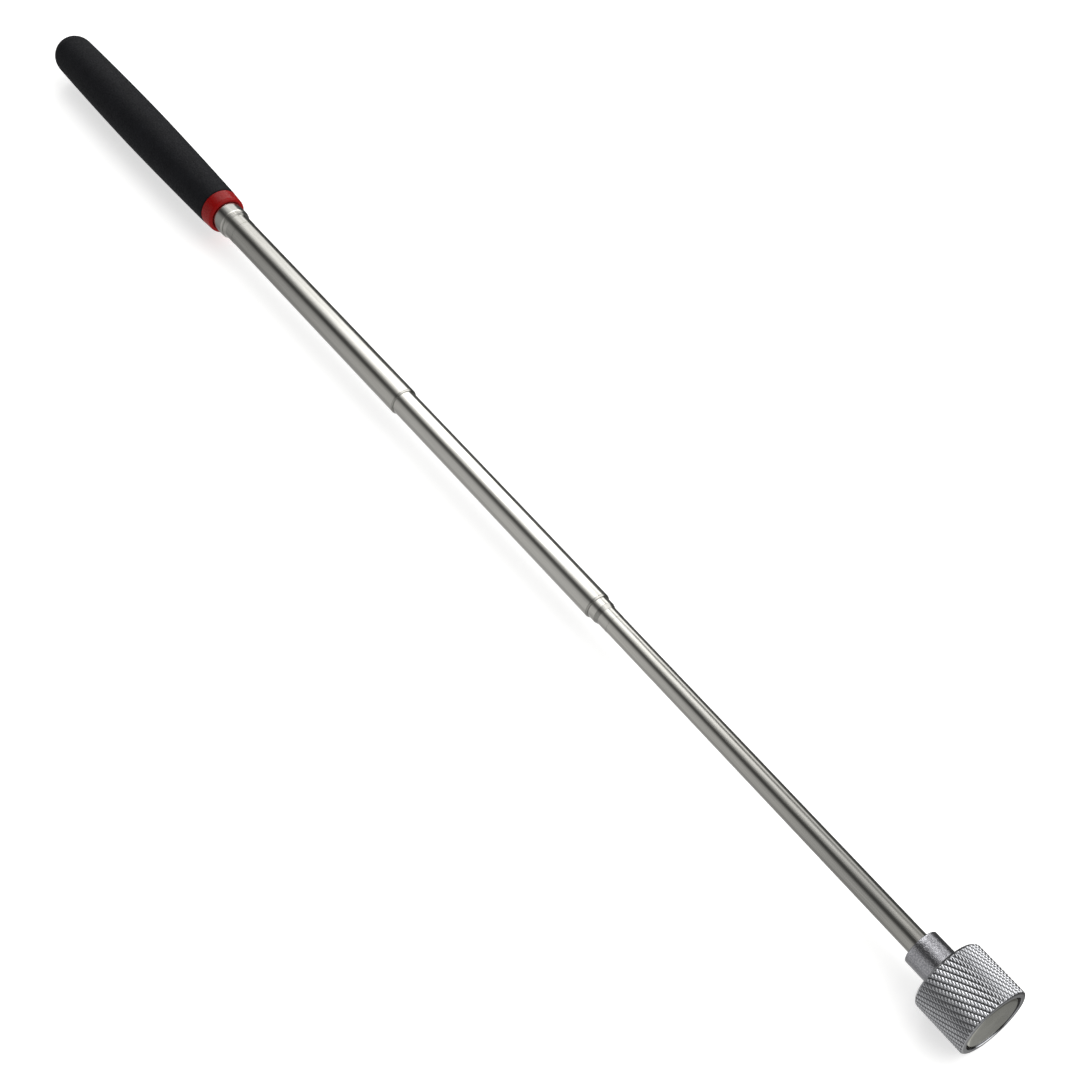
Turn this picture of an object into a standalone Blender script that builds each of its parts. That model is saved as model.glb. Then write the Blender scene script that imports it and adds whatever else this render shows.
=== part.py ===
"""Telescopic magnetic pick-up tool: a soft grip, a collar, six nested tubes and a knurled head with a magnet.

The tool lies along world X with its magnet towards +X, on the plane Z = 0, partly drawn out. Every piece
is turned about the tool's axis, so each one is a profile of (radius, station) points in millimetres.
A station is the distance from the butt with the tool closed, and a radius is measured to the flats.
"""

import math

import bpy

MM = 0.001
SIDES = 24
CORNER = 1 / math.cos(math.pi / SIDES)
SHARP_ANGLE = math.radians(28)
MERGE_DISTANCE = 0.00001

# Lengths of the closed tool, from the butt to the magnet's face
CLOSED_LENGTH = 178.0
HEAD_LENGTH = 17.3
NECK_LENGTH = 9.1
GRIP_LENGTH = 116.9
COLLAR_LENGTH = 5.5
SEAM = 0.3

# Nested tubes: number 0 is fixed in the grip, numbers 1 to 5 slide
TUBE_RADII = (5.65, 5.24, 4.83, 4.32, 3.81, 3.30)
SECTIONS = len(TUBE_RADII) - 1
WALL = 0.24
MOUTH_STEP = 5.7
NOSE_LENGTH = 0.6
NOSE_CLEARANCE = 0.06
NOSE_EDGE = 0.15
BASE_STATION = 6.2
BASE_STEP = 0.8
FIRST_OVERLAP = 17.3
OVERLAP_STEP = 1.0

# How far each sliding tube is drawn out of the one round it at rest
DRAWN_OUT = {1: 0.0, 2: 95.0, 3: 96.7, 4: 2.3, 5: 127.1}

# Grip: a round butt and a slight barrel shape
BUTT_RADIUS = 7.7
BARREL_RADIUS = 8.3
BARREL_STATION = 60.0
GRIP_FRONT_RADIUS = 7.4
BARREL_FALL = 1.5
BARREL_STRETCHES = 14
BUTT_STEPS = 8
BUTT_END_ANGLE = -80
BUTT_FLOOR = 4.2
BORE_CLEARANCE = 0.1

COLLAR_REAR_RADIUS = 7.35
COLLAR_FRONT_RADIUS = 7.05
COLLAR_ROUNDING = 1.1
COLLAR_STEPS = 5

PLUG_LENGTH = 1.4
FERRULE_LENGTH = 0.5
FERRULE_WIDTH = 1.0
SPRING_LENGTH = 6.0
SPRING_THICKNESS = 0.10
SPRING_CLEARANCE = 0.04
SPRING_SET_BACK = 5.0
FIT_GAP = 0.05

HEAD_RADIUS = 10.95
SHOULDER_CHAMFER = 0.9
RIM_ROUNDING = 0.7
RIM_STEPS = 4
NECK_RADIUS = 5.38
NECK_CHAMFER = 0.4
SOCKET_DEPTH = 6.2
STUD_RADIUS = 3.0
STUD_DEPTH = 8.4
STUD_TAIL = 4.0
RECESS_RADIUS = 9.1
RECESS_DEPTH = 6.0
MAGNET_RADIUS = 8.7
MAGNET_PROUD = 0.1
MAGNET_CHAMFER = 0.2
SPACER_SET_BACK = 0.4

NECK_STATION = CLOSED_LENGTH - HEAD_LENGTH - NECK_LENGTH
RIM_STATION = CLOSED_LENGTH - MAGNET_PROUD
RECESS_FLOOR = RIM_STATION - RECESS_DEPTH
OUTER_LINE = NECK_STATION - SEAM - NOSE_LENGTH - (SECTIONS - 1) * MOUTH_STEP
COLLAR_STATION = GRIP_LENGTH + SEAM
REST_LENGTH = CLOSED_LENGTH + sum(DRAWN_OUT.values())


def line(number):
    """Station where a tube's nose starts to close in."""
    return OUTER_LINE + number * MOUTH_STEP


def mouth(number):
    """Station of a tube's open front end."""
    return line(number) + NOSE_LENGTH


def base(number):
    """Station of a sliding tube's rear end."""
    return BASE_STATION + (number - 1) * BASE_STEP


def overlap(number):
    """Length of a sliding tube that stays inside the one round it when fully drawn out."""
    return FIRST_OVERLAP - (number - 1) * OVERLAP_STEP


def arc(centre_radius, centre_station, bend, start, end, steps):
    """Points of a round stretch of profile. Angles are in degrees from the radial direction."""
    angles = [math.radians(start + (end - start) * i / steps) for i in range(steps + 1)]
    return [(centre_radius + bend * math.cos(a), centre_station + bend * math.sin(a)) for a in angles]


def clear_scene():
    for obj in list(bpy.data.objects):
        bpy.data.objects.remove(obj)


def new_collection():
    parts = bpy.data.collections.new("pickup_tool")
    bpy.context.scene.collection.children.link(parts)
    return parts


def new_material(name, color, metallic, roughness):
    material = bpy.data.materials.new(name)
    material.use_nodes = True
    shader = material.node_tree.nodes["Principled BSDF"]
    shader.inputs["Base Color"].default_value = (*color, 1.0)
    shader.inputs["Metallic"].default_value = metallic
    shader.inputs["Roughness"].default_value = roughness
    material.diffuse_color = (*color, 1.0)
    return material


def new_axis(name, parts, parent=None, drawn_out=0.0):
    """An empty on the tool's axis, with its own Z along it. A sliding body hangs on one."""
    axis = bpy.data.objects.new(name, None)
    axis.parent = parent
    axis.location = (0.0, 0.0, drawn_out * MM)
    parts.objects.link(axis)
    return axis


def turned(name, profile, material, axis):
    """A solid of revolution. Its profile runs down the outer side, from the front to the rear."""
    outline = [(r * CORNER * MM, 0.0, station * MM) for r, station in profile]
    edges = [(i, i + 1) for i in range(len(outline) - 1)]
    is_ring = profile[0][0] > 0
    if is_ring:
        edges.append((len(outline) - 1, 0))
    mesh = bpy.data.meshes.new(name)
    mesh.from_pydata(outline, edges, [])
    piece = bpy.data.objects.new(name, mesh)
    axis.users_collection[0].objects.link(piece)
    piece.parent = axis
    piece.rotation_euler.z = math.pi / SIDES
    screw = piece.modifiers.new("turn", "SCREW")
    screw.steps = SIDES
    screw.render_steps = SIDES
    screw.use_merge_vertices = True
    screw.merge_threshold = MERGE_DISTANCE
    bpy.context.view_layer.objects.active = piece
    bpy.ops.object.modifier_apply(modifier=screw.name)
    piece.data.shade_smooth()
    piece.data.set_sharp_from_angle(angle=SHARP_ANGLE)
    piece.data.materials.append(material)
    return piece


def barrel(station):
    """Radius of the grip, widest at BARREL_STATION."""
    if station < BARREL_STATION:
        away = (BARREL_STATION - station) / (BARREL_STATION - BUTT_RADIUS)
        return BARREL_RADIUS - (BARREL_RADIUS - BUTT_RADIUS) * away**2
    away = (station - BARREL_STATION) / (GRIP_LENGTH - BARREL_STATION)
    return BARREL_RADIUS - (BARREL_RADIUS - GRIP_FRONT_RADIUS) * away**BARREL_FALL


def make_grip(materials, axis):
    bore = TUBE_RADII[0] + BORE_CLEARANCE
    length = GRIP_LENGTH - BUTT_RADIUS
    stations = [GRIP_LENGTH - length * i / BARREL_STRETCHES for i in range(BARREL_STRETCHES)]
    profile = [(0.0, BUTT_FLOOR), (bore, BUTT_FLOOR), (bore, GRIP_LENGTH)]
    profile += [(barrel(station), station) for station in stations]
    profile += arc(0.0, BUTT_RADIUS, BUTT_RADIUS, 0, BUTT_END_ANGLE, BUTT_STEPS)
    profile.append((0.0, 0.0))
    turned("soft_grip", profile, materials["grip"], axis)


def make_collar(materials, axis):
    bore = TUBE_RADII[0] + BORE_CLEARANCE
    front = COLLAR_STATION + COLLAR_LENGTH
    centre_radius = COLLAR_FRONT_RADIUS - COLLAR_ROUNDING
    profile = [(bore, front)]
    profile += arc(centre_radius, front - COLLAR_ROUNDING, COLLAR_ROUNDING, 90, 0, COLLAR_STEPS)
    profile += [(COLLAR_REAR_RADIUS, COLLAR_STATION), (bore, COLLAR_STATION)]
    turned("collar_ring", profile, materials["collar"], axis)


def tube_profile(number, rear):
    """A tube whose nose closes in on the next tube, so that the next one can't be pulled out."""
    outer = TUBE_RADII[number]
    inner = outer - WALL
    nose_bore = TUBE_RADII[number + 1] + NOSE_CLEARANCE
    return [
        (nose_bore + NOSE_EDGE, mouth(number)),
        (outer, line(number)),
        (outer, rear),
        (inner, rear),
        (inner, line(number)),
        (nose_bore, mouth(number) - WALL),
        (nose_bore, mouth(number)),
    ]


def make_outer_tube(materials, axis):
    rear = BUTT_FLOOR + SEAM
    turned("outer_tube", tube_profile(0, rear), materials["tube"], axis)
    plug = TUBE_RADII[0] - WALL - FIT_GAP
    front = rear + PLUG_LENGTH
    profile = [(0.0, front), (plug, front), (plug, rear), (0.0, rear)]
    turned("end_plug", profile, materials["plug"], axis)


def make_section(number, materials, axis):
    """A sliding tube with the stop ring in its rear end and the friction spring round it."""
    outer = TUBE_RADII[number]
    rear = base(number)
    if number < SECTIONS:
        profile = tube_profile(number, rear)
    else:
        front = NECK_STATION + SOCKET_DEPTH - 2 * FIT_GAP
        profile = [(outer, front), (outer, rear), (outer - WALL, rear), (outer - WALL, front)]
    turned(f"section_tube_{number}", profile, materials["tube"], axis)

    rim = outer - WALL - FIT_GAP
    hole = rim - FERRULE_WIDTH
    front = rear + FERRULE_LENGTH
    profile = [(rim, front), (rim, rear), (hole, rear), (hole, front)]
    turned(f"base_ferrule_{number}", profile, materials["brass"], axis)

    spring_bore = outer + SPRING_CLEARANCE
    spring_rim = spring_bore + SPRING_THICKNESS
    front = rear + overlap(number) - NOSE_LENGTH - SPRING_SET_BACK
    rear = front - SPRING_LENGTH
    profile = [(spring_rim, front), (spring_rim, rear), (spring_bore, rear), (spring_bore, front)]
    turned(f"friction_spring_{number}", profile, materials["bronze"], axis)


def make_head(materials, axis):
    shoulder = NECK_STATION + NECK_LENGTH
    socket = TUBE_RADII[SECTIONS] + FIT_GAP
    socket_floor = NECK_STATION + SOCKET_DEPTH
    stud_bore = STUD_RADIUS + FIT_GAP
    stud_floor = NECK_STATION + STUD_DEPTH
    profile = [(0.0, RECESS_FLOOR), (RECESS_RADIUS, RECESS_FLOOR), (RECESS_RADIUS, RIM_STATION)]
    profile += arc(HEAD_RADIUS - RIM_ROUNDING, RIM_STATION - RIM_ROUNDING, RIM_ROUNDING, 90, 0, RIM_STEPS)
    profile += [
        (HEAD_RADIUS, shoulder + SHOULDER_CHAMFER),
        (HEAD_RADIUS - SHOULDER_CHAMFER, shoulder),
        (NECK_RADIUS, shoulder),
        (NECK_RADIUS, NECK_STATION + NECK_CHAMFER),
        (NECK_RADIUS - NECK_CHAMFER, NECK_STATION),
        (socket, NECK_STATION),
        (socket, socket_floor),
        (stud_bore, socket_floor),
        (stud_bore, stud_floor),
        (0.0, stud_floor),
    ]
    turned("magnet_head", profile, materials["chrome"], axis)

    front = stud_floor - FIT_GAP
    rear = NECK_STATION - STUD_TAIL
    profile = [(0.0, front), (STUD_RADIUS - FIT_GAP, front), (STUD_RADIUS - FIT_GAP, rear), (0.0, rear)]
    turned("head_stud", profile, materials["stud"], axis)


def make_magnet(materials, axis):
    rear = RECESS_FLOOR + FIT_GAP
    profile = [
        (0.0, CLOSED_LENGTH),
        (MAGNET_RADIUS - MAGNET_CHAMFER, CLOSED_LENGTH),
        (MAGNET_RADIUS, CLOSED_LENGTH - MAGNET_CHAMFER),
        (MAGNET_RADIUS, rear),
        (0.0, rear),
    ]
    turned("magnet_disc", profile, materials["nickel"], axis)

    front = RIM_STATION - SPACER_SET_BACK
    rim = RECESS_RADIUS - FIT_GAP
    hole = MAGNET_RADIUS + FIT_GAP
    profile = [(rim, front), (rim, rear), (hole, rear), (hole, front)]
    turned("magnet_spacer", profile, materials["spacer"], axis)


def main():
    clear_scene()
    parts = new_collection()
    materials = {
        "grip": new_material("grip", (0.016, 0.017, 0.020), 0.0, 0.75),
        "collar": new_material("collar", (0.50, 0.012, 0.010), 0.0, 0.28),
        "tube": new_material("tube", (0.66, 0.65, 0.61), 1.0, 0.20),
        "plug": new_material("plug", (0.05, 0.05, 0.05), 0.0, 0.55),
        "brass": new_material("brass", (0.72, 0.52, 0.22), 1.0, 0.30),
        "bronze": new_material("bronze", (0.66, 0.42, 0.22), 1.0, 0.32),
        "chrome": new_material("chrome", (0.68, 0.69, 0.72), 1.0, 0.15),
        "stud": new_material("stud", (0.55, 0.55, 0.55), 1.0, 0.35),
        "nickel": new_material("nickel", (0.36, 0.35, 0.31), 1.0, 0.38),
        "spacer": new_material("spacer", (0.02, 0.02, 0.02), 0.0, 0.60),
    }
    axis = new_axis("handle_axis", parts)
    axis.location = (-REST_LENGTH / 2 * MM, 0.0, HEAD_RADIUS * MM)
    axis.rotation_euler = (0.0, math.pi / 2, 0.0)
    make_grip(materials, axis)
    make_collar(materials, axis)
    make_outer_tube(materials, axis)
    for number in range(1, SECTIONS + 1):
        axis = new_axis(f"section_{number}_axis", parts, axis, DRAWN_OUT[number])
        make_section(number, materials, axis)
    make_head(materials, axis)
    make_magnet(materials, axis)


main()
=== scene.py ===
"""Looks of a telescopic magnetic pick-up tool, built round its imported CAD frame.

Every piece is turned about the tool's axis, which runs along X. A profile is a list of (x, r) points
in metres: x along the tool in the row frame, r from the axis. Each piece's origin lies on that axis.
"""

import math

import bmesh
import bpy
import numpy as np
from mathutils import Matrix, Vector


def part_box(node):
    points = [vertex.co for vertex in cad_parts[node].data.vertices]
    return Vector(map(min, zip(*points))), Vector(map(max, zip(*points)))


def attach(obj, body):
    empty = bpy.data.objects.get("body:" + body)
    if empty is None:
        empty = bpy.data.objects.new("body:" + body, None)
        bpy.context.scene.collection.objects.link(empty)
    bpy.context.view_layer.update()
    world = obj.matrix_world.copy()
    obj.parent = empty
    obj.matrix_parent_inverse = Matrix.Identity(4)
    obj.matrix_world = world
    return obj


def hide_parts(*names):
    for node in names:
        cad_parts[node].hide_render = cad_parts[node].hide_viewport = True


MM = 0.001
UM = 0.000001
SECTIONS = 5

# Camera: where it looks, how far it stands off and from which side
CAMERA_AIM = Vector((0.0572, 0.0013, 0.01095))
CAMERA_DISTANCE = 0.5718
CAMERA_AZIMUTH = math.radians(54.0)
CAMERA_ELEVATION = math.radians(49.8)
CAMERA_LENS = 63.65
CAMERA_SENSOR = 36.0

# Studio: levels by the angle round the tool in degrees (-90 is the -Y side, 0 overhead, 90 the +Y
# side), and by how far a direction leans along X
LIGHT_POWER = 2.2
LIGHT_BOXES = [
    (-31, 0.0), (-18, 0.1), (-9, 0.29), (1, 0.55), (11, 0.82), (21, 1.0), (68, 1.0), (83, 0.0),
]
LIGHT_REACH = [
    (-1, 0.3), (-0.78, 0.42), (-0.7, 0.56), (-0.668, 0.72), (-0.625, 0.84), (-0.6, 1.4), (-0.56, 2.3),
    (-0.52, 2.3), (-0.505, 1.5), (-0.49, 1.0), (-0.455, 0.8), (-0.41, 0.7), (-0.364, 0.53),
    (-0.317, 0.38), (-0.28, 0.26), (-0.262, 0.17), (-0.235, 0.21), (-0.17, 0.34), (-0.1, 0.8),
    (0.1, 0.85), (0.32, 0.9), (0.7, 0.9), (1, 0.3),
]
BOX_SEAM = [(30, 0.0), (41, 1.0), (53, 1.0), (65, 0.0)]
SEAM_REACH = [
    (-0.8, 0.1), (-0.505, 0.1), (-0.485, 0.7), (-0.47, 0.95), (-0.41, 0.95), (-0.364, 0.85),
    (-0.317, 0.6), (-0.28, 0.32), (-0.2, 0.1), (0.5, 0.1),
]
GREY_CARDS = [
    (-180, 0.5), (-165, 0.42), (-146, 0.36), (-132, 0.41), (-118, 0.52), (-95, 0.55), (-75, 0.52),
    (-65, 0.48), (-57, 0.37), (-48, 0.19), (-40, 0.08), (-31, 0.06), (0, 0.02), (84, 0.08),
    (146, 0.11), (170, 0.5),
]
CARD_REACH = [
    (-1, 0.5), (-0.7, 0.66), (-0.66, 0.95), (-0.6, 1.3), (-0.5, 1.45), (-0.42, 1.25), (-0.33, 0.95),
    (-0.285, 0.72), (-0.262, 1.15), (-0.2, 1.0), (0, 0.75), (0.3, 1.0), (1, 0.8),
]
AROUND_SPAN = (-180.0, 180.0)
LEAN_SPAN = (-1.0, 1.0)
STUDIO_TINT = (1.0, 0.998, 0.985)
WALL_LEVEL = 0.93
FLOOR_GLOW = 0.6
FLOOR_HALF = 3.0

# Round pieces
TUBE_SEGMENTS = 128
GRIP_SEGMENTS = 160
HEAD_SEGMENTS = 192
KNURL_SHARP = math.radians(50)
SMOOTH_ANGLE = math.radians(32)
TUBE_ROWS = 24
BORE_CLEARANCE = 0.1 * MM

# Tube ends: most are rolled in at the mouth. Two are drawn down to the next tube, with a taper and
# then a sleeve that hugs it; their lengths are given by tube number
DRAWN_DOWN = {1: (1.0 * MM, 4.3 * MM), 4: (1.5 * MM, 3.8 * MM)}
ROLL_LENGTH = 1.1 * MM
ROLL_GAP = 0.03 * MM
ROLL_EDGE = 0.03 * MM
ROLL_START = {0: 0.0, 2: 25.0, 3: 25.0}
ROLL_BLEND = 0.1 * MM
ROLL_STEPS = 12
DRAWN_EDGE = 0.03 * MM
DRAWN_GAP = 0.03 * MM
DRAWN_BLEND = 0.08 * MM
DRAWN_STEPS = 24
WALL = 0.24 * MM

# Grip and collar
BUTT_RADIUS = 7.7 * MM
BARREL_RADIUS = 8.3 * MM
BARREL_PLACE = 60.0 * MM
BARREL_FALL = 1.5
GRIP_FRONT_RADIUS = 7.3 * MM
GRIP_EDGE = 0.5 * MM
GRIP_EDGE_STEPS = 6
GRIP_STATIONS = 120
GRIP_BORE_ROWS = 4
BUTT_FLOOR = 4.2 * MM
BUTT_END_ANGLE = -87
BUTT_STEPS = 28
COLLAR_REAR_RADIUS = 7.22 * MM
COLLAR_FRONT_RADIUS = 7.0 * MM
COLLAR_ROUNDING = 1.15 * MM
COLLAR_EDGE = 0.15 * MM
COLLAR_ROUNDING_STEPS = 12
COLLAR_ROWS = 12
COLLAR_EDGE_STEPS = 4
COLLAR_BORE_ROWS = 6

# Head. Each family of knurl grooves has a number of grooves round the head, a slope from the line of
# the axis, a depth, and a number of mesh cells from one groove to the next
COARSE = {"starts": 42, "slope": math.radians(27), "depth": 0.34 * MM, "cells": 10}
FINE = {"starts": 76, "slope": math.radians(-29.5), "depth": 0.27 * MM, "cells": 6}
NECK_LENGTH = 9.1 * MM
NECK_RADIUS = 5.38 * MM
NECK_CHAMFER = 0.35 * MM
NECK_FILLET = 0.4 * MM
NECK_ROWS = 8
NECK_STEPS = 5
SHOULDER_CHAMFER = 0.9 * MM
SHOULDER_ROWS = 4
RIM_ROUNDING = 0.8 * MM
RIM_CREASES = (0, 0.35, 0.7)
RIM_STEPS = 8
RIM_INNER_CHAMFER = 0.15 * MM
RIM_INNER_LAND = 9.2 * MM
RECESS_RADIUS = 9.1 * MM
RECESS_DEPTH = 6.0 * MM
SOCKET_RADIUS = 3.35 * MM
SOCKET_DEPTH = 6.2 * MM
STUD_BORE = 3.05 * MM
STUD_DEPTH = 8.4 * MM

# Vertices of the head that are picked by their place: how far past a boundary still counts
CAST_REACH = 0.1 * MM
RECESS_REACH = 0.1 * MM
RECESS_SPARE = 0.01 * MM
LAP_TOLERANCE = 1e-9
CUT_TOLERANCE = 1e-9
STATION_TOLERANCE = 1e-8

# Magnet and spacer
MAGNET_EDGE = 0.95 * MM
MAGNET_EDGE_STEPS = 8
MAGNET_CROWN = 0.2 * MM
CROWN_RINGS = 10
SPACER_GAP = 0.05 * MM
SPACER_SLOPE = 0.06 * MM

# Sockets of a Mix node that mixes colors: its two inputs and its output
MIX_FIRST = 6
MIX_SECOND = 7
MIX_RESULT = 2


# ---------------------------------------------------------------- geometry

def arc(centre_x, centre_r, bend, start, end, steps):
    """Points of a round stretch. Angles are in degrees, from the way r grows towards +x."""
    angles = np.radians(np.linspace(start, end, steps + 1))
    return [(centre_x + bend * math.sin(a), centre_r + bend * math.cos(a)) for a in angles]


def stretch(start, end, steps):
    """Evenly spaced points of a straight stretch, without its last point."""
    return [tuple(p) for p in np.linspace(start, end, steps + 1)[:-1]]


def finish_mesh(name, bm, sharp=SMOOTH_ANGLE):
    """An object of the mesh, shaded smooth except at edges sharper than an angle."""
    bmesh.ops.recalc_face_normals(bm, faces=bm.faces)
    mesh = bpy.data.meshes.new(name)
    bm.to_mesh(mesh)
    bm.free()
    mesh.shade_smooth()
    mesh.set_sharp_from_angle(angle=sharp)
    piece = bpy.data.objects.new(name, mesh)
    bpy.context.scene.collection.objects.link(piece)
    return piece


def add_ring(bm, x, r, segments):
    """A circle of vertices round the axis, or the one vertex on it."""
    if r == 0:
        return [bm.verts.new((x, 0.0, 0.0))]
    angles = [2 * math.pi * i / segments for i in range(segments)]
    return [bm.verts.new((x, r * math.cos(a), r * math.sin(a))) for a in angles]


def join_rings(bm, first, second):
    """Faces between two rings that start at the same angle. Either may be a single vertex."""
    if len(first) == 1:
        first, second = second, first
    for i, vertex in enumerate(first):
        after = first[(i + 1) % len(first)]
        if len(second) == 1:
            bm.faces.new((vertex, after, second[0]))
        else:
            bm.faces.new((vertex, after, second[(i + 1) % len(first)], second[i]))


def turn(bm, profile, segments):
    """Surface of revolution along a profile. Returns its first and last ring."""
    rings = [add_ring(bm, x, r, segments) for x, r in profile]
    for first, second in zip(rings, rings[1:]):
        join_rings(bm, first, second)
    return rings[0], rings[-1]


def revolve(name, profile, segments):
    """A closed solid of revolution. The profile is a loop, or starts and ends on the axis."""
    bm = bmesh.new()
    first, last = turn(bm, profile, segments)
    if len(first) > 1:
        join_rings(bm, last, first)
    return finish_mesh(name, bm)


def angle_of(vertex):
    """A vertex's angle round the axis, from 0 to a full turn."""
    return math.atan2(vertex.co.z, vertex.co.y) % (2 * math.pi)


def zip_rings(bm, first, second):
    """Triangles between two rings of different vertex counts."""
    first = sorted(first, key=angle_of)
    second = sorted(second, key=angle_of)
    i = j = 0
    while i < len(first) or j < len(second):
        here, there = first[i % len(first)], second[j % len(second)]
        next_here, next_there = first[(i + 1) % len(first)], second[(j + 1) % len(second)]
        reach_first = angle_of(next_here)
        if i + 1 >= len(first):
            reach_first = 2 * math.pi + reach_first
        reach_second = angle_of(next_there)
        if j + 1 >= len(second):
            reach_second = 2 * math.pi + reach_second
        if j == len(second) or (i < len(first) and reach_first <= reach_second):
            bm.faces.new((here, there, next_here))
            i += 1
        else:
            bm.faces.new((here, there, next_there))
            j += 1


def place(piece, body, slot, material, *nodes):
    """The piece moves with a body, stands for its CAD nodes and takes the material as its finish. The
    slot is not used.
    """
    piece.location = (0.0, 0.0, AXIS_HEIGHT)
    piece.data.materials.append(material)
    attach(piece, body)
    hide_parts(*nodes)
    return piece


def ends(node):
    """Rear end, front end and outer radius of a CAD node."""
    low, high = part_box(node)
    return low.x, high.x, (high.z - low.z) / 2


# ---------------------------------------------------------------- materials

class Finish:
    """A procedural material under construction, in the piece's own coordinates."""

    def __init__(self, name, color, metallic=0.0, roughness=0.5):
        self.material = bpy.data.materials.new(name)
        self.material.use_nodes = True
        self.nodes = self.material.node_tree.nodes
        self.links = self.material.node_tree.links
        self.shader = self.nodes["Principled BSDF"]
        self.shader.inputs["Base Color"].default_value = (*color, 1.0)
        self.shader.inputs["Metallic"].default_value = metallic
        self.shader.inputs["Roughness"].default_value = roughness
        self.coordinates = self.nodes.new("ShaderNodeTexCoord").outputs["Object"]
        self.normal = None

    def set(self, **constants):
        for name, value in constants.items():
            self.shader.inputs[name.replace("_", " ")].default_value = value
        return self

    def noise(self, scale, stretch_by=(1, 1, 1), detail=3.0, roughness=0.55):
        """Noise with about `scale` grains a metre along each axis."""
        mapping = self.nodes.new("ShaderNodeMapping")
        mapping.inputs["Scale"].default_value = [scale * s for s in stretch_by]
        self.links.new(self.coordinates, mapping.inputs["Vector"])
        noise = self.nodes.new("ShaderNodeTexNoise")
        noise.inputs["Scale"].default_value = 1.0
        noise.inputs["Detail"].default_value = detail
        noise.inputs["Roughness"].default_value = roughness
        self.links.new(mapping.outputs["Vector"], noise.inputs["Vector"])
        return noise.outputs["Fac"]

    def cells(self, scale):
        """Irregular cells, about `scale` of them a metre."""
        voronoi = self.nodes.new("ShaderNodeTexVoronoi")
        voronoi.inputs["Scale"].default_value = scale
        voronoi.inputs["Randomness"].default_value = 1.0
        self.links.new(self.coordinates, voronoi.inputs["Vector"])
        return voronoi.outputs["Distance"]

    def rings(self, spacing):
        """Fine circles round the tool's axis, spaced outwards, for a turned or ground end face."""
        split = self.nodes.new("ShaderNodeSeparateXYZ")
        self.links.new(self.coordinates, split.inputs["Vector"])
        join = self.nodes.new("ShaderNodeCombineXYZ")
        self.links.new(split.outputs["Y"], join.inputs["X"])
        self.links.new(split.outputs["Z"], join.inputs["Y"])
        length = self.nodes.new("ShaderNodeVectorMath")
        length.operation = "LENGTH"
        self.links.new(join.outputs["Vector"], length.inputs[0])
        scaled = self.nodes.new("ShaderNodeMath")
        scaled.operation = "MULTIPLY"
        scaled.inputs[1].default_value = 1 / spacing
        self.links.new(length.outputs["Value"], scaled.inputs[0])
        noise = self.nodes.new("ShaderNodeTexNoise")
        noise.noise_dimensions = "1D"
        noise.inputs["Scale"].default_value = 1.0
        noise.inputs["Detail"].default_value = 2.0
        self.links.new(scaled.outputs["Value"], noise.inputs["W"])
        return noise.outputs["Fac"]

    def attribute(self, name):
        """A level that the mesh carries on its vertices."""
        node = self.nodes.new("ShaderNodeAttribute")
        node.attribute_name = name
        return node.outputs["Fac"]

    def multiply(self, first, second):
        node = self.nodes.new("ShaderNodeMath")
        node.operation = "MULTIPLY"
        self.links.new(first, node.inputs[0])
        self.links.new(second, node.inputs[1])
        return node.outputs["Value"]

    def remap(self, value, low, high, start=0.3, end=0.7):
        """Takes a value from start to end over to low to high, and holds it there beyond them."""
        node = self.nodes.new("ShaderNodeMapRange")
        node.inputs["From Min"].default_value = start
        node.inputs["From Max"].default_value = end
        node.inputs["To Min"].default_value = low
        node.inputs["To Max"].default_value = high
        self.links.new(value, node.inputs["Value"])
        return node.outputs["Result"]

    def colors(self, value, dark, light, start=0.35, end=0.65):
        """Dark below the start value, light above the end value, and a blend between them."""
        ramp = self.nodes.new("ShaderNodeValToRGB")
        ramp.color_ramp.elements[0].position = start
        ramp.color_ramp.elements[0].color = (*dark, 1.0)
        ramp.color_ramp.elements[1].position = end
        ramp.color_ramp.elements[1].color = (*light, 1.0)
        self.links.new(value, ramp.inputs["Fac"])
        return ramp.outputs["Color"]

    def mix(self, factor, first, second):
        """A blend of two colors. The second is another node's output, or a constant."""
        node = self.nodes.new("ShaderNodeMix")
        node.data_type = "RGBA"
        self.links.new(factor, node.inputs["Factor"])
        self.links.new(first, node.inputs[MIX_FIRST])
        if isinstance(second, tuple):
            node.inputs[MIX_SECOND].default_value = (*second, 1.0)
        else:
            self.links.new(second, node.inputs[MIX_SECOND])
        return node.outputs[MIX_RESULT]

    def color(self, value):
        self.links.new(value, self.shader.inputs["Base Color"])
        return self

    def roughness(self, value):
        self.links.new(value, self.shader.inputs["Roughness"])
        return self

    def bump(self, height, distance, strength=1.0):
        """Adds a layer of relief, `distance` metres high."""
        node = self.nodes.new("ShaderNodeBump")
        node.inputs["Strength"].default_value = strength
        node.inputs["Distance"].default_value = distance
        self.links.new(height, node.inputs["Height"])
        if self.normal is not None:
            self.links.new(self.normal, node.inputs["Normal"])
        self.normal = node.outputs["Normal"]
        self.links.new(self.normal, self.shader.inputs["Normal"])
        return self


def grip_rubber():
    """Matte black soft grip: close fine grain, faint mottling and a soft sheen."""
    finish = Finish("grip_rubber", (0.012, 0.012, 0.014), 0.0, 0.7)
    finish.set(Specular_IOR_Level=0.2)
    mottle = finish.noise(260, detail=4)
    finish.color(finish.colors(mottle, (0.0028, 0.0032, 0.0050), (0.0054, 0.0060, 0.0086), 0.3, 0.7))
    finish.roughness(finish.remap(finish.noise(1500), 0.58, 0.82))
    finish.bump(finish.noise(420, detail=2), 100 * UM, 0.6)
    finish.bump(finish.cells(2600), 90 * UM, 0.7)
    finish.bump(finish.noise(7000, detail=2), 40 * UM, 0.6)
    return finish.material


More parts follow.
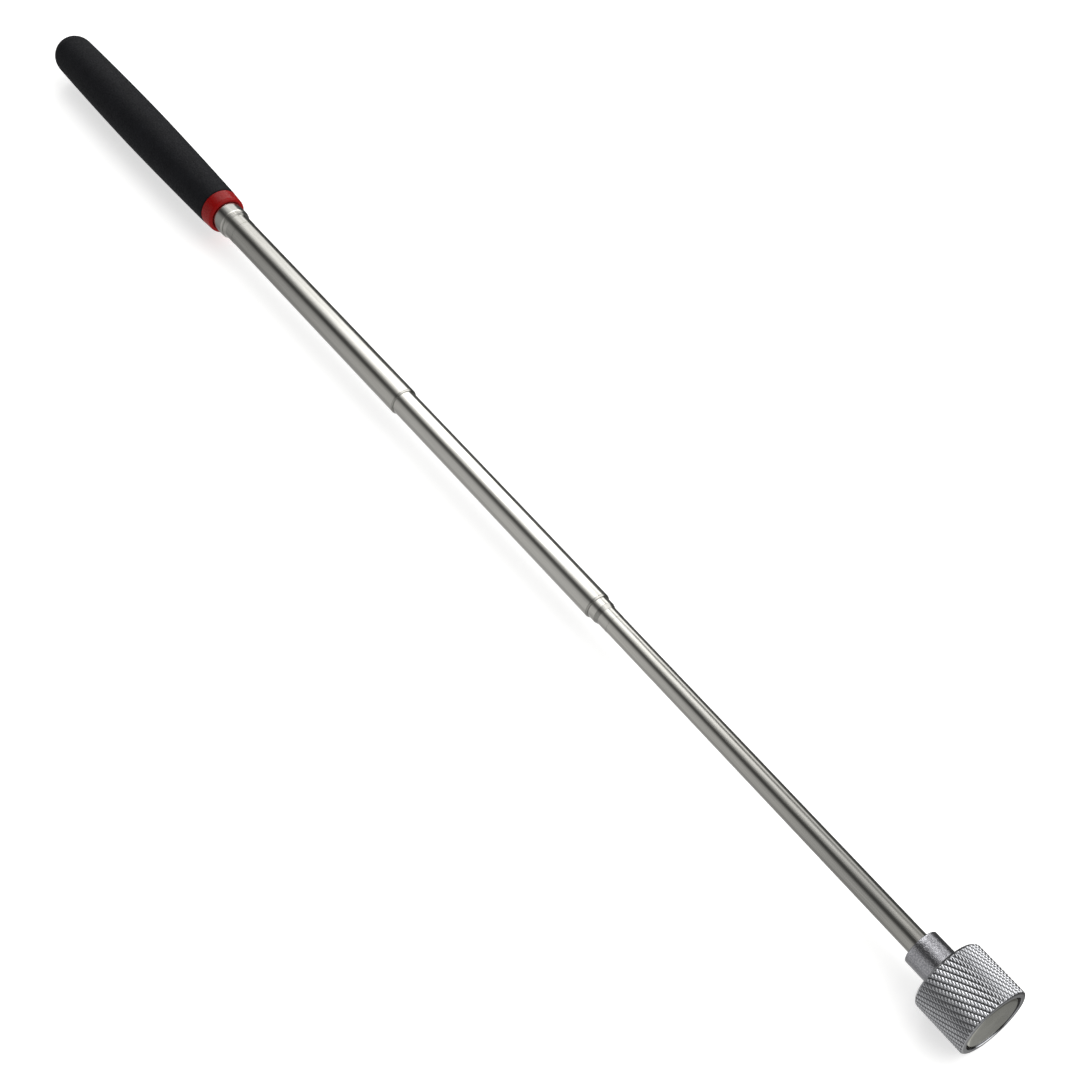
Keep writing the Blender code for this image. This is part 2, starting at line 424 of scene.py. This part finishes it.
def collar_plastic():
    """Glossy moulded red plastic."""
    finish = Finish("collar_plastic", (0.36, 0.004, 0.004), 0.0, 0.28)
    finish.set(Specular_IOR_Level=0.16)
    mottle = finish.noise(120)
    finish.color(finish.colors(mottle, (0.25, 0.003, 0.003), (0.31, 0.005, 0.005)))
    finish.roughness(finish.remap(finish.noise(2400, (0.3, 1, 1)), 0.22, 0.34))
    finish.bump(finish.noise(500, detail=1), 10 * UM, 0.5)
    return finish.material


def tube_steel():
    """Bright drawn tube: lengthwise drawing lines and a few fine scuffs."""
    finish = Finish("tube_steel", (0.52, 0.51, 0.48), 1.0, 0.16)
    lines = finish.noise(5200, (0.012, 1, 1), detail=4, roughness=0.65)
    cloud = finish.noise(90, (0.5, 1, 1))
    tone = finish.colors(lines, (0.47, 0.46, 0.43), (0.57, 0.56, 0.53), 0.25, 0.75)
    finish.color(finish.mix(finish.remap(cloud, 0.0, 0.35), tone, (0.50, 0.50, 0.49)))
    finish.roughness(finish.remap(finish.noise(2600, (0.03, 1, 1), detail=5), 0.11, 0.24))
    finish.bump(lines, 3.5 * UM, 0.8)
    return finish.material


def head_plating():
    """Bright plating: painted shade darkens it down in the knurl's grooves and in the recess, and it
    is speckled and darker over a rough casting on the neck.
    """
    finish = Finish("head_plating", (0.66, 0.67, 0.70), 1.0, 0.15)
    groove = finish.attribute("groove")
    cast = finish.attribute("cast")
    cloud = finish.noise(350, detail=4)
    bright = finish.colors(cloud, (0.62, 0.63, 0.66), (0.74, 0.75, 0.78))
    grain = finish.noise(2600, detail=3)
    speckled = finish.colors(grain, (0.38, 0.38, 0.41), (0.54, 0.54, 0.57), 0.4, 0.6)
    surface = finish.mix(cast, bright, speckled)
    # Painted shade: the colour goes nearly black towards the bottoms of the grooves and in the recess
    finish.color(finish.mix(finish.remap(groove, 0.0, 0.9, 0.55, 1.0), surface, (0.03, 0.03, 0.035)))
    finish.roughness(finish.remap(finish.noise(2200, detail=4), 0.10, 0.22))
    finish.bump(finish.multiply(grain, cast), 70 * UM)
    finish.bump(finish.noise(3800, detail=3), 8 * UM, 0.6)
    return finish.material


def magnet_nickel():
    """Satin nickel on a ground magnet: warm grey, with faint circles and specks."""
    finish = Finish("magnet_nickel", (0.66, 0.66, 0.60), 1.0, 0.3)
    cloud = finish.noise(220, detail=5)
    tone = finish.colors(cloud, (0.77, 0.77, 0.69), (0.88, 0.88, 0.80))
    speck = finish.remap(finish.noise(3000, detail=2), 0.0, 0.5, 0.62, 0.75)
    finish.color(finish.mix(speck, tone, (0.14, 0.135, 0.12)))
    finish.roughness(finish.remap(finish.noise(1500, detail=4), 0.18, 0.27))
    finish.bump(finish.rings(220 * UM), 6 * UM, 0.6)
    finish.bump(finish.noise(2600, detail=3), 10 * UM, 0.5)
    return finish.material


def spacer_plastic():
    """Dark glue line and spacer round the magnet."""
    finish = Finish("spacer_plastic", (0.02, 0.019, 0.018), 0.0, 0.6)
    finish.color(finish.colors(finish.noise(900), (0.010, 0.009, 0.009), (0.030, 0.027, 0.024)))
    finish.roughness(finish.remap(finish.noise(2500), 0.5, 0.75))
    finish.bump(finish.noise(3500), 30 * UM)
    return finish.material


def turned_metal(name, dark, light, rough):
    """Inner metal piece with lathe marks round it."""
    finish = Finish(name, light, 1.0, rough)
    marks = finish.noise(9000, (1, 0.02, 0.02), detail=3)
    finish.color(finish.colors(marks, dark, light))
    finish.roughness(finish.remap(finish.noise(1800), rough - 0.06, rough + 0.08))
    finish.bump(marks, 6 * UM)
    return finish.material


def plug_plastic():
    """Moulded black plug inside the grip."""
    finish = Finish("plug_plastic", (0.045, 0.045, 0.045), 0.0, 0.55)
    finish.color(finish.colors(finish.noise(700), (0.035, 0.035, 0.036), (0.055, 0.055, 0.056)))
    finish.roughness(finish.remap(finish.noise(2200), 0.45, 0.65))
    finish.bump(finish.noise(3000), 20 * UM)
    return finish.material


def floor_paint():
    """Plain pale studio floor, a lit table top of milky acrylic."""
    finish = Finish("floor_paint", (0.8, 0.8, 0.8), 0.0, 0.9)
    finish.set(Specular_IOR_Level=0.1)
    finish.set(Emission_Color=(1.0, 1.0, 1.0, 1.0), Emission_Strength=FLOOR_GLOW)
    finish.color(finish.colors(finish.noise(6), (0.79, 0.79, 0.79), (0.81, 0.81, 0.81)))
    return finish.material


# ---------------------------------------------------------------- pieces

def barrel(along, length):
    """Grip radius at a distance from the butt."""
    if along < BARREL_PLACE:
        away = (BARREL_PLACE - along) / (BARREL_PLACE - BUTT_RADIUS)
        return BARREL_RADIUS - (BARREL_RADIUS - BUTT_RADIUS) * away**2
    away = (along - BARREL_PLACE) / (length - BARREL_PLACE)
    return BARREL_RADIUS - (BARREL_RADIUS - GRIP_FRONT_RADIUS) * away**BARREL_FALL


def make_grip():
    """Sleeve with a slight barrel shape and a domed butt."""
    rear, front, _ = ends("soft_grip")
    bore = ends("outer_tube")[2] + BORE_CLEARANCE
    length = front - rear
    edge = GRIP_EDGE
    top = barrel(length - edge, length)
    profile = [(rear + BUTT_FLOOR, 0.0)]
    profile += stretch((rear + BUTT_FLOOR, bore), (front, bore), GRIP_BORE_ROWS)
    profile += [(front, bore)]
    profile += arc(front - edge, top - edge, edge, 90, 0, GRIP_EDGE_STEPS)
    stations = np.linspace(length - edge, BUTT_RADIUS, GRIP_STATIONS)[1:]
    profile += [(rear + s, barrel(s, length)) for s in stations]
    profile += arc(rear + BUTT_RADIUS, 0.0, BUTT_RADIUS, 0, BUTT_END_ANGLE, BUTT_STEPS)[1:]
    profile += [(rear, 0.0)]
    return revolve("grip_sleeve", profile, GRIP_SEGMENTS)


def make_collar():
    """Ring in front of the grip, rounded at its front."""
    rear, front, _ = ends("collar_ring")
    bore = ends("outer_tube")[2] + BORE_CLEARANCE
    edge = COLLAR_EDGE
    bend = COLLAR_ROUNDING
    shoulder = (front - bend, COLLAR_FRONT_RADIUS)
    profile = [(front, bore + edge)]
    profile += arc(front - bend, COLLAR_FRONT_RADIUS - bend, bend, 90, 0, COLLAR_ROUNDING_STEPS)
    profile += stretch(shoulder, (rear + edge, COLLAR_REAR_RADIUS), COLLAR_ROWS)[1:]
    profile += arc(rear + edge, COLLAR_REAR_RADIUS - edge, edge, 0, -90, COLLAR_EDGE_STEPS)
    profile += stretch((rear, bore), (front - edge, bore), COLLAR_BORE_ROWS)
    profile += [(front - edge, bore)]
    return revolve("collar_band", profile, TUBE_SEGMENTS)


def rolled_end(front, outer, next_outer, roll_start):
    """Tube end that is rolled in at its mouth. The points run from inside the tube to its outer side.

    The roll is a quarter of an ellipse, less its first `roll_start` degrees.
    """
    bore = next_outer + ROLL_GAP
    tip = bore + ROLL_EDGE
    angles = np.radians(np.linspace(90, roll_start, ROLL_STEPS + 1))
    depth = (outer - tip) / math.cos(angles[-1])
    roll = [(front - ROLL_LENGTH * (1 - math.sin(a)), tip + depth * math.cos(a)) for a in angles]
    roll += [(roll[-1][0] - ROLL_BLEND, outer)]
    return [(front - ROLL_LENGTH - WALL, outer - WALL), (front - WALL, bore), (front, bore)] + roll


def drawn_end(front, outer, next_outer, taper, sleeve):
    """Tube end that is drawn down in a cone until it meets the next tube in a thin edge."""
    bore = next_outer + DRAWN_GAP
    tip = bore + DRAWN_EDGE
    start = front - sleeve
    shares = np.linspace(0, 1, DRAWN_STEPS + 1)
    cone = [(start - taper * t, tip + (outer - tip) * t) for t in shares]
    inside = [(x - WALL, max(bore, r - WALL)) for x, r in reversed(cone)]
    outside = [(front, tip), (start + DRAWN_BLEND, tip)] + cone
    return inside + [(front, bore)] + outside + [(start - taper - DRAWN_BLEND, outer)]


def make_tube(number):
    """One of the nested tubes: number 0 is fixed in the grip and the last one carries the head."""
    node = "outer_tube" if number == 0 else f"section_tube_{number}"
    rear, front, outer = ends(node)
    inner = outer - WALL
    if number < SECTIONS:
        next_outer = ends(f"section_tube_{number + 1}")[2]
        if number in DRAWN_DOWN:
            profile = drawn_end(front, outer, next_outer, *DRAWN_DOWN[number])
        else:
            profile = rolled_end(front, outer, next_outer, ROLL_START[number])
        profile += stretch(profile[-1], (rear, outer), TUBE_ROWS)[1:]
        profile += [(rear, outer), (rear, inner)]
    else:
        profile = stretch((front, outer), (rear, outer), TUBE_ROWS)
        profile += [(rear, outer), (rear, inner), (front, inner)]
    return revolve(f"{node}_drawn", profile, TUBE_SEGMENTS)


def groove_share(phase):
    """How far down a groove's round side is, from 0 on the ridge to 1 at the bottom.

    The phase counts grooves.
    """
    return 0.5 + 0.5 * math.cos(2 * math.pi * phase)


def knurl(bm, envelope, radius, start, end, creases):
    """Knurled band between two stations: two families of helical grooves, a coarse and a fine one.

    Its faces lie along both families, so that every groove and ridge is an edge. envelope(x) is the
    turned radius that the grooves are cut into.
    """
    turns = [f["starts"] / (2 * math.pi) for f in (COARSE, FINE)]
    along = [turns[k] * math.tan(f["slope"]) / radius for k, f in enumerate((COARSE, FINE))]
    scale = turns[1] * along[0] - turns[0] * along[1]
    counts = [f["starts"] * f["cells"] for f in (COARSE, FINE)]
    margin = radius * math.tan(COARSE["slope"]) * 2 * math.pi / COARSE["starts"]
    vertices = {}

    def vertex(i, j):
        """The vertex at grid line i of the coarse family and j of the fine one, going round."""
        p, q = i / COARSE["cells"], j / FINE["cells"]
        x = start + (turns[1] * p - turns[0] * q) / scale
        angle = (along[0] * q - along[1] * p) / scale
        lap = math.floor(angle / (2 * math.pi) + LAP_TOLERANCE)
        key = (i - lap * counts[0], j - lap * counts[1])
        if key not in vertices:
            vertices[key] = bm.verts.new((x, radius * math.cos(angle), radius * math.sin(angle)))
        return vertices[key]

    for i in range(counts[0]):
        p = i / COARSE["cells"]
        # q runs over the stations from start to end at this p
        reach = (start - margin, end + margin)
        limits = [(turns[1] * p - (x - start) * scale) / turns[0] for x in reach]
        first = math.floor(min(limits) * FINE["cells"])
        last = math.ceil(max(limits) * FINE["cells"])
        for j in range(first, last):
            corners = [vertex(i, j), vertex(i + 1, j), vertex(i + 1, j + 1), vertex(i, j + 1)]
            bm.faces.new(corners)
    for x in [start, *creases, end]:
        everything = bm.verts[:] + bm.edges[:] + bm.faces[:]
        bmesh.ops.bisect_plane(
            bm,
            geom=everything,
            dist=CUT_TOLERANCE,
            plane_co=(x, 0, 0),
            plane_no=(1, 0, 0),
            clear_inner=(x == start),
            clear_outer=(x == end),
        )
    # How far down a groove each vertex lies, kept for the painted shade in the grooves
    groove = bm.verts.layers.float.new("groove")
    for v in bm.verts:
        angle = math.atan2(v.co.z, v.co.y)
        phases = [turns[k] * angle + along[k] * (v.co.x - start) for k in range(2)]
        shares = [groove_share(phase) for phase in phases]
        depth = max(COARSE["depth"] * shares[0], FINE["depth"] * shares[1])
        r = min(envelope(v.co.x), radius - depth)
        v.co.y = r * math.cos(angle)
        v.co.z = r * math.sin(angle)
        v[groove] = max(shares)
    rings = []
    for x in (start, end):
        rings.append([v for v in bm.verts if abs(v.co.x - x) < STATION_TOLERANCE])
    return rings


def make_head():
    """The knurled cup, its rounded rim and recess, and the neck with the stud's hole."""
    rear, rim, outer = ends("magnet_head")
    shoulder = rear + NECK_LENGTH
    depth = COARSE["depth"]
    chamfer_end = shoulder + SHOULDER_CHAMFER
    round_start = rim - RIM_ROUNDING
    start = chamfer_end - depth
    # Where the rounded rim has dropped by the groove depth
    sink = math.acos(1 - depth / RIM_ROUNDING)
    end = round_start + RIM_ROUNDING * math.sin(sink)

    def envelope(x):
        if x < chamfer_end:
            return outer - (chamfer_end - x)
        if x > round_start:
            along = min(x - round_start, RIM_ROUNDING)
            return outer - RIM_ROUNDING + math.sqrt(RIM_ROUNDING**2 - along**2)
        return outer

    bm = bmesh.new()
    steps = [round_start + RIM_ROUNDING * math.sin(sink * t) for t in RIM_CREASES]
    rear_ring, front_ring = knurl(bm, envelope, outer, start, end, [chamfer_end, *steps])

    floor = rim - RECESS_DEPTH
    rim_start = math.degrees(sink)
    front = arc(round_start, outer - RIM_ROUNDING, RIM_ROUNDING, rim_start, 90, RIM_STEPS)[1:]
    front += [(rim, RIM_INNER_LAND), (rim - RIM_INNER_CHAMFER, RECESS_RADIUS)]
    front += [(floor, RECESS_RADIUS), (floor, 0.0)]
    corner = (shoulder, outer - SHOULDER_CHAMFER)
    back = stretch((start, outer - depth), corner, SHOULDER_ROWS)[1:]
    back += [corner]
    back += arc(shoulder - NECK_FILLET, NECK_RADIUS + NECK_FILLET, NECK_FILLET, 90, 180, NECK_STEPS)
    neck_ends = [(shoulder - NECK_FILLET, NECK_RADIUS), (rear + NECK_CHAMFER, NECK_RADIUS)]
    back += stretch(*neck_ends, NECK_ROWS)[1:]
    back += arc(rear + NECK_CHAMFER, NECK_RADIUS - NECK_CHAMFER, NECK_CHAMFER, 0, -90, NECK_STEPS)
    back += [(rear, SOCKET_RADIUS), (rear + SOCKET_DEPTH, SOCKET_RADIUS)]
    back += [(rear + SOCKET_DEPTH, STUD_BORE), (rear + STUD_DEPTH, STUD_BORE)]
    back += [(rear + STUD_DEPTH, 0.0)]
    zip_rings(bm, front_ring, turn(bm, front, HEAD_SEGMENTS)[0])
    zip_rings(bm, rear_ring, turn(bm, back, HEAD_SEGMENTS)[0])
    cast = bm.verts.layers.float.new("cast")
    groove = bm.verts.layers.float["groove"]
    for v in bm.verts:
        v[cast] = float(v.co.x < shoulder + CAST_REACH)
        # Painted shade: the recess is as dark as the bottom of a groove
        within = math.hypot(v.co.y, v.co.z) < RECESS_RADIUS + RECESS_SPARE
        if v.co.x > floor - RECESS_REACH and within:
            v[groove] = 1.0
    return finish_mesh("knurled_head", bm, KNURL_SHARP)


def make_magnet():
    """Disc with a slight crown and a rounded edge."""
    rear, front, outer = ends("magnet_disc")
    edge = MAGNET_EDGE
    flat = outer - edge
    radii = np.linspace(flat / CROWN_RINGS, flat, CROWN_RINGS)
    crowned = [(front - MAGNET_CROWN * (r / flat) ** 2, r) for r in radii]
    profile = [(front, 0.0)] + crowned
    profile += arc(front - MAGNET_CROWN - edge, flat, edge, 90, 0, MAGNET_EDGE_STEPS)[1:]
    profile += [(rear, outer), (rear, 0.0)]
    return revolve("magnet_face_disc", profile, TUBE_SEGMENTS)


def make_spacer():
    """Thin ring between the magnet and the cup."""
    rear, front, outer = ends("magnet_spacer")
    hole = ends("magnet_disc")[2] + SPACER_GAP
    middle = (outer + hole) / 2
    edge = front - SPACER_SLOPE
    profile = [(edge, hole), (front, middle), (edge, outer), (rear, outer), (rear, hole)]
    return revolve("spacer_line", profile, TUBE_SEGMENTS)


def make_floor(material):
    """The plain table top that the tool lies on."""
    bm = bmesh.new()
    bmesh.ops.create_grid(bm, x_segments=2, y_segments=2, size=FLOOR_HALF)
    floor = finish_mesh("studio_floor", bm)
    floor.data.materials.append(material)
    # The metal mirrors the cards of the studio, which the world holds, and not the table
    floor.visible_glossy = False


def make_world():
    """Soft studio light from long boxes beside and above the tool, with dark and grey cards round it.

    It is a function of the direction's angle round the tool, from straight down by -Y over the top
    and back by +Y, and of how far the direction leans along the tool.
    """
    world = bpy.data.worlds.new("studio")
    world.use_nodes = True
    bpy.context.scene.world = world
    nodes, links = world.node_tree.nodes, world.node_tree.links

    def math_node(operation, first, second):
        node = nodes.new("ShaderNodeMath")
        node.operation = operation
        for socket, value in zip(node.inputs, (first, second)):
            if isinstance(value, float):
                socket.default_value = value
            else:
                links.new(value, socket)
        return node.outputs["Value"]

    def ramp(value, span, stops):
        """Levels at values from one end of a span to the other."""
        low, high = span
        share = math_node("DIVIDE", math_node("SUBTRACT", value, low), high - low)
        node = nodes.new("ShaderNodeValToRGB")
        elements = node.color_ramp.elements
        while len(elements) < len(stops):
            elements.new(0.5)
        for element, (place, level) in zip(elements, stops):
            element.position = (place - low) / (high - low)
            element.color = (level, level, level, 1.0)
        links.new(share, node.inputs["Fac"])
        return node.outputs["Color"]

    coordinates = nodes.new("ShaderNodeTexCoord")
    split = nodes.new("ShaderNodeSeparateXYZ")
    links.new(coordinates.outputs["Generated"], split.inputs["Vector"])
    lean = split.outputs["X"]
    radians = math_node("ARCTAN2", split.outputs["Y"], split.outputs["Z"])
    around = math_node("MULTIPLY", radians, 180 / math.pi)
    boxes = ramp(around, AROUND_SPAN, LIGHT_BOXES)
    reach = ramp(lean, LEAN_SPAN, LIGHT_REACH)
    gap = ramp(around, AROUND_SPAN, BOX_SEAM)
    seam = math_node("MULTIPLY", gap, ramp(lean, LEAN_SPAN, SEAM_REACH))
    cards = ramp(around, AROUND_SPAN, GREY_CARDS)
    spread = ramp(lean, LEAN_SPAN, CARD_REACH)
    lit = math_node("MULTIPLY", math_node("MULTIPLY", boxes, reach), LIGHT_POWER)
    lit = math_node("MULTIPLY", lit, math_node("SUBTRACT", 1.0, seam))
    dull = math_node("MULTIPLY", cards, spread)
    total = math_node("ADD", lit, dull)
    tint = nodes.new("ShaderNodeMix")
    tint.data_type = "RGBA"
    tint.blend_type = "MULTIPLY"
    tint.inputs["Factor"].default_value = 1.0
    tint.inputs[MIX_SECOND].default_value = (*STUDIO_TINT, 1.0)
    links.new(total, tint.inputs[MIX_FIRST])
    # Above the far edge of the floor the camera sees a plain pale wall
    rays = nodes.new("ShaderNodeLightPath")
    wall = nodes.new("ShaderNodeMix")
    wall.data_type = "RGBA"
    wall.inputs[MIX_SECOND].default_value = (WALL_LEVEL, WALL_LEVEL, WALL_LEVEL, 1.0)
    links.new(rays.outputs["Is Camera Ray"], wall.inputs["Factor"])
    links.new(tint.outputs[MIX_RESULT], wall.inputs[MIX_FIRST])
    links.new(wall.outputs[MIX_RESULT], nodes["Background"].inputs["Color"])


def make_camera():
    """The camera that the picture is taken with."""
    data = bpy.data.cameras.new("camera")
    data.lens = CAMERA_LENS
    data.sensor_width = CAMERA_SENSOR
    camera = bpy.data.objects.new("camera", data)
    bpy.context.scene.collection.objects.link(camera)
    flat = math.cos(CAMERA_ELEVATION)
    east = flat * math.sin(CAMERA_AZIMUTH)
    north = -flat * math.cos(CAMERA_AZIMUTH)
    away = Vector((east, north, math.sin(CAMERA_ELEVATION)))
    camera.location = CAMERA_AIM + away * CAMERA_DISTANCE
    camera.rotation_euler = (-away).to_track_quat("-Z", "Y").to_euler()
    bpy.context.scene.camera = camera


# ---------------------------------------------------------------- scene

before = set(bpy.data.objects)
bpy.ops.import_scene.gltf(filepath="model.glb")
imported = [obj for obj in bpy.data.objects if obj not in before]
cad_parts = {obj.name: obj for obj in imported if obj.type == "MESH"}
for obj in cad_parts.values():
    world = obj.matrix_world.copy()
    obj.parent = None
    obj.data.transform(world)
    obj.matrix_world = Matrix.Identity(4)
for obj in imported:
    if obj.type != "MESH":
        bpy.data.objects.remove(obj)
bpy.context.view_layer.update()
head_low, head_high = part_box("magnet_head")
AXIS_HEIGHT = (head_low.z + head_high.z) / 2

steel = tube_steel()
place(make_grip(), "handle", "grip", grip_rubber(), "soft_grip")
place(make_collar(), "handle", "collar", collar_plastic(), "collar_ring")
place(make_tube(0), "handle", "tube", steel, "outer_tube")
for number in range(1, SECTIONS + 1):
    place(make_tube(number), f"section_{number}", "tube", steel, f"section_tube_{number}")
place(make_head(), "section_5", "chrome", head_plating(), "magnet_head")
place(make_magnet(), "section_5", "nickel", magnet_nickel(), "magnet_disc")
place(make_spacer(), "section_5", "spacer", spacer_plastic(), "magnet_spacer")

brass = turned_metal("turned_brass", (0.55, 0.38, 0.15), (0.74, 0.54, 0.24), 0.30)
bronze = turned_metal("spring_bronze", (0.48, 0.28, 0.13), (0.68, 0.43, 0.23), 0.32)
stud = turned_metal("stud_steel", (0.42, 0.42, 0.43), (0.58, 0.58, 0.58), 0.34)
kept = {"end_plug": plug_plastic(), "head_stud": stud}
for number in range(1, SECTIONS + 1):
    kept[f"base_ferrule_{number}"] = brass
    kept[f"friction_spring_{number}"] = bronze
for node, material in kept.items():
    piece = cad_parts[node]
    piece.data.materials.clear()
    piece.data.materials.append(material)

make_floor(floor_paint())
make_world()
make_camera()
bpy.context.scene.view_settings.view_transform = "Standard"
